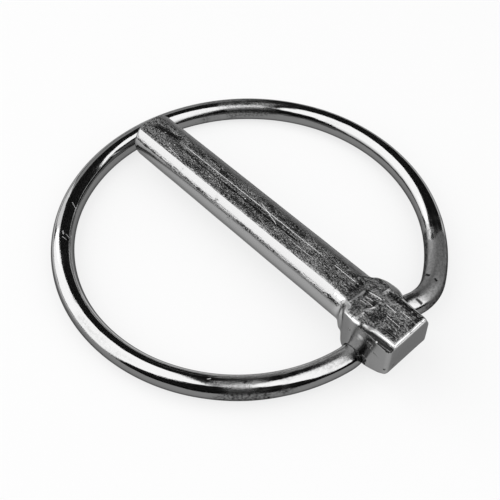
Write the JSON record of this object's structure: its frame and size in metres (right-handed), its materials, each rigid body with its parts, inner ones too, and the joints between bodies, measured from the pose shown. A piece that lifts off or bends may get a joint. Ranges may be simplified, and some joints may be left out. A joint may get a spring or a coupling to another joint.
{
  "type": "lock pin with spring ring",
  "caption": "Forged steel lock pin with a squared head and a round shank. A sprung wire ring hinged in the head closes round the shank's tip and keeps the pin in its cross hole.",
  "frame": {"origin": "on the shank's axis, where the neck ends and the straight shank begins", "axes": "+X along the shank to its tip; +Z away from the closed ring's plane, towards the head's flat top; +Y to the side of the ring's smaller half"},
  "size_m": [0.0819, 0.079, 0.014],
  "materials": {
    "forged_steel": "zinc-plated over a rough forged surface",
    "spring_wire": "bright plated drawn wire"
  },
  "bodies": {
    "pin_body": {"pin": "forged_steel"},
    "ring_body": {"ring": "spring_wire"}
  },
  "joints": [
    {"name": "ring_swing", "type": "hinge", "parent": "pin_body", "child": "ring_body", "pos_m": [-0.00655, 0, -0.005], "axis": [0, -1, 0], "range_deg": [0, 180], "stiffness_Nm_per_rad": 0.05}
  ]
}
